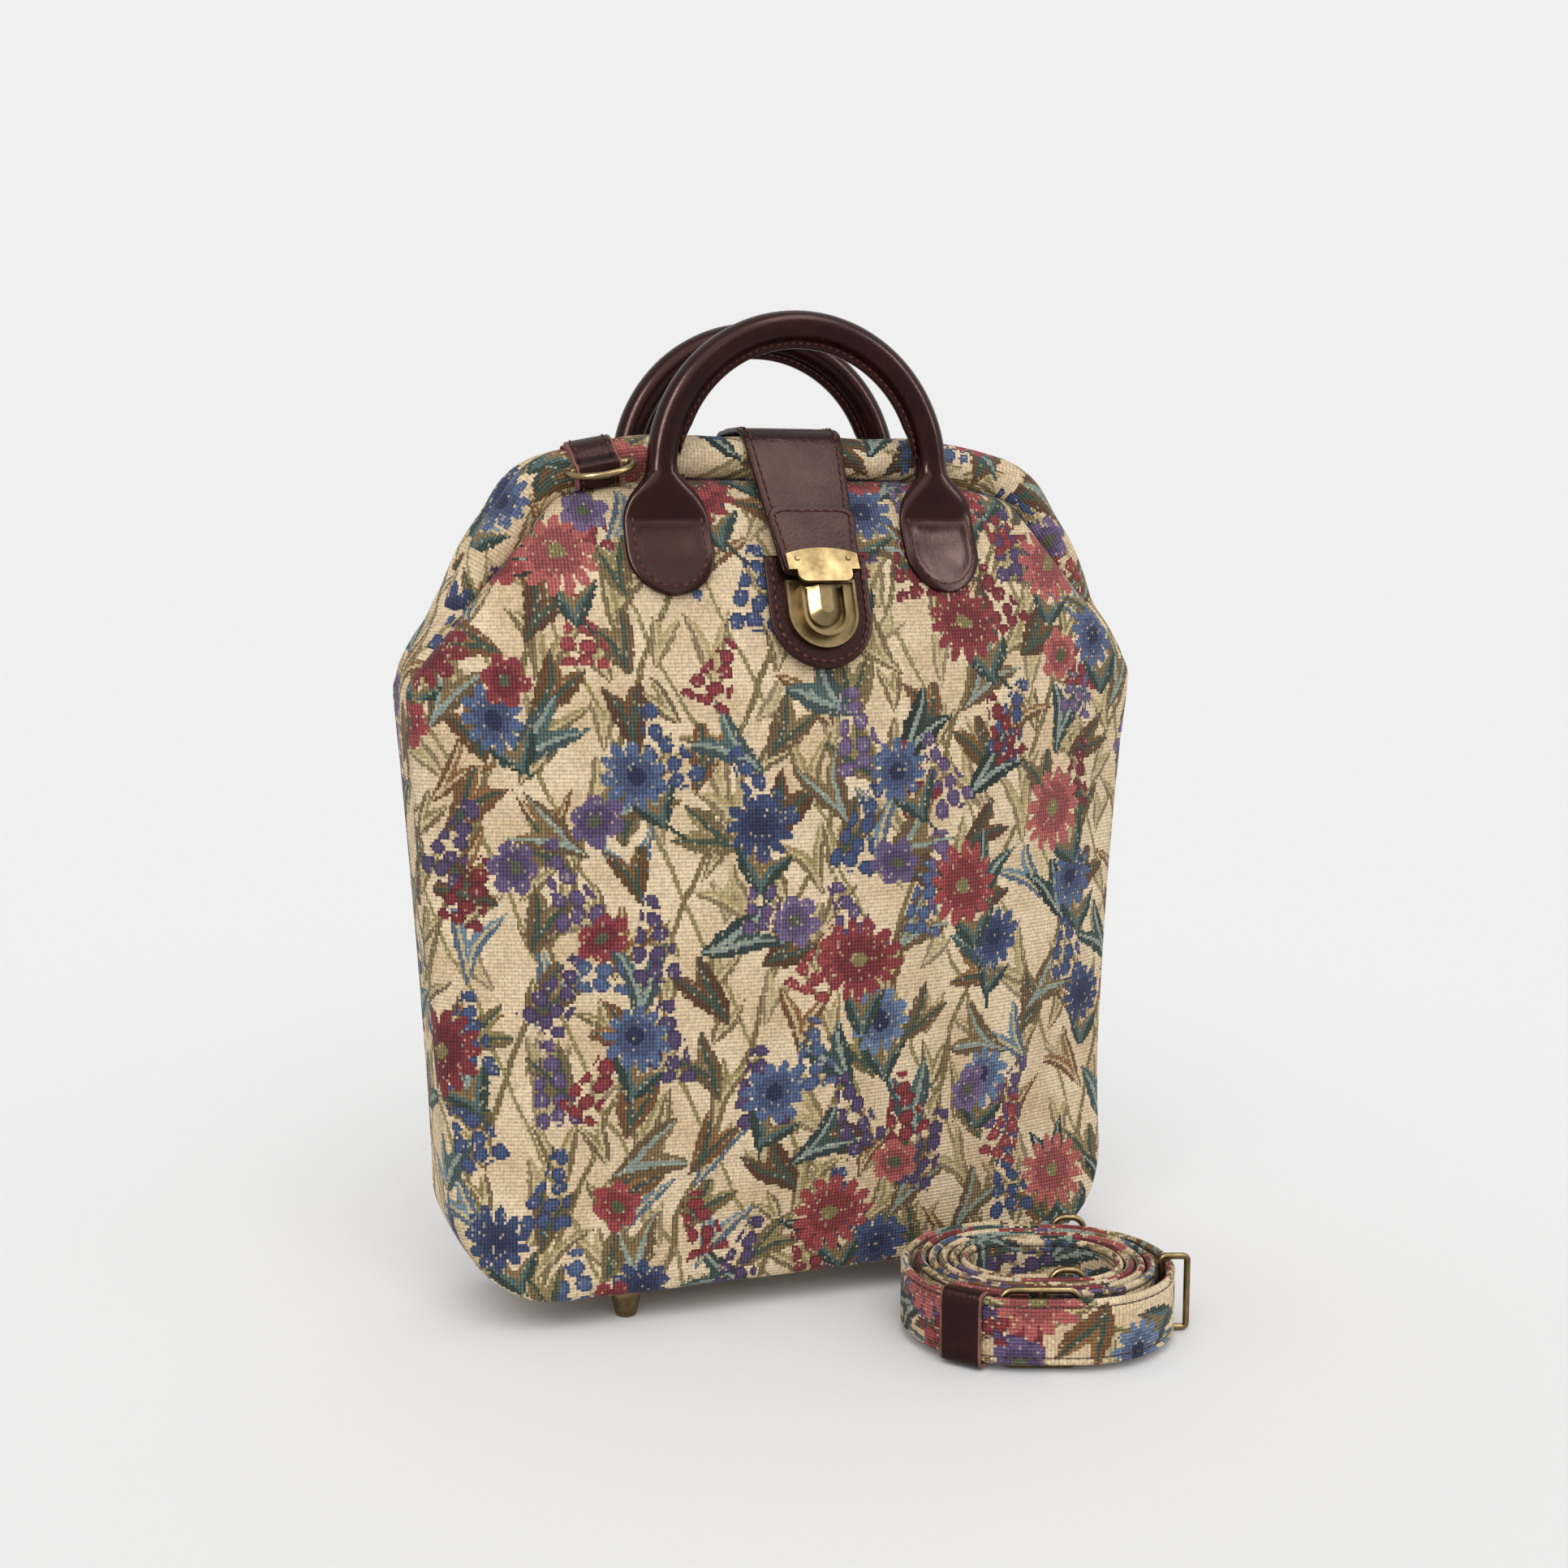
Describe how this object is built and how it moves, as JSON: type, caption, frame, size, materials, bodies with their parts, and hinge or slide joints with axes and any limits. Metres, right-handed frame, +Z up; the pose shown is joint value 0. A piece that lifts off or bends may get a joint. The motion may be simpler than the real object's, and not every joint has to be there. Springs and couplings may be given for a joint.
{
  "type": "backpack",
  "caption": "Soft tapestry backpack with a hinged padded frame mouth, rolled leather handles, a tab with a sliding lock, cone feet and its detached strap rolled up beside it",
  "frame": {"origin": "on the floor under the middle of the bag", "axes": "front faces -Y, +X to the right seen from the front, +Z up"},
  "size_m": [0.3612, 0.2342, 0.464],
  "materials": {
    "tapestry": "ribbed floral tapestry cloth",
    "leather": "glossy dark brown leather",
    "antique_brass": "antique brass with dark patina",
    "frame_steel": "plain steel rod",
    "base_board": "cloth-covered fibre board"
  },
  "bodies": {
    "bag": {"front_panel": "tapestry", "back_panel": "tapestry", "gusset": "tapestry", "base_board": "base_board", "feet": "antique_brass", "foot_nuts": "antique_brass", "hinge_rivets": "frame_steel", "lock_patch": "leather", "lock_plate": "antique_brass", "strap_band": "tapestry", "strap_keeper": "leather", "slide_buckle": "antique_brass", "loop_ring": "antique_brass", "outer_end_ring": "antique_brass", "inner_end_ring": "antique_brass"},
    "front_frame": {"front_frame_rod": "frame_steel", "front_rim_sleeve": "tapestry", "front_handle": "leather", "front_ring_loop": "leather"},
    "back_frame": {"back_frame_rod": "frame_steel", "back_rim_sleeve": "tapestry", "back_handle": "leather", "back_ring_loop": "leather"},
    "tab": {"closing_tab": "leather", "tab_overlay": "leather", "tongue_plate": "antique_brass", "tongue_rivets": "antique_brass"},
    "thumb": {"lock_thumb": "antique_brass"},
    "front_ring": {"front_d_ring": "antique_brass"},
    "back_ring": {"back_d_ring": "antique_brass"}
  },
  "joints": [
    {"name": "front_frame_open", "type": "hinge", "parent": "bag", "child": "front_frame", "pos_m": [0, 0, 0.33], "axis": [1, 0, 0], "range_deg": [0, 30], "deforming": ["front_panel"]},
    {"name": "back_frame_open", "type": "hinge", "parent": "bag", "child": "back_frame", "pos_m": [0, 0, 0.33], "axis": [1, 0, 0], "range_deg": [-30, 0], "deforming": ["back_panel"]},
    {"name": "tab_lift", "type": "hinge", "parent": "back_frame", "child": "tab", "pos_m": [0, 0.006, 0.409], "axis": [-1, 0, 0], "range_deg": [0, 51], "deforming": ["closing_tab"]},
    {"name": "lock_thumb_slide", "type": "slide", "parent": "bag", "child": "thumb", "axis": [0, -0.342, -0.9397], "range_m": [0, 0.003], "stiffness_N_per_m": 300, "springref_m": -0.003},
    {"name": "front_ring_swing", "type": "hinge", "parent": "front_frame", "child": "front_ring", "pos_m": [-0.094, -0.02505, 0.39275], "axis": [0.981, 0, 0.1942], "range_deg": [-90, 35]},
    {"name": "back_ring_swing", "type": "hinge", "parent": "back_frame", "child": "back_ring", "pos_m": [0.094, 0.02505, 0.39275], "axis": [-0.981, 0, 0.1942], "range_deg": [-90, 35]}
  ],
  "couplings": [
    {"joint": "back_frame_open", "follows": "front_frame_open", "ratio": -1},
    {"joint": "tab_lift", "follows": "front_frame_open", "ratio": 1.7}
  ]
}
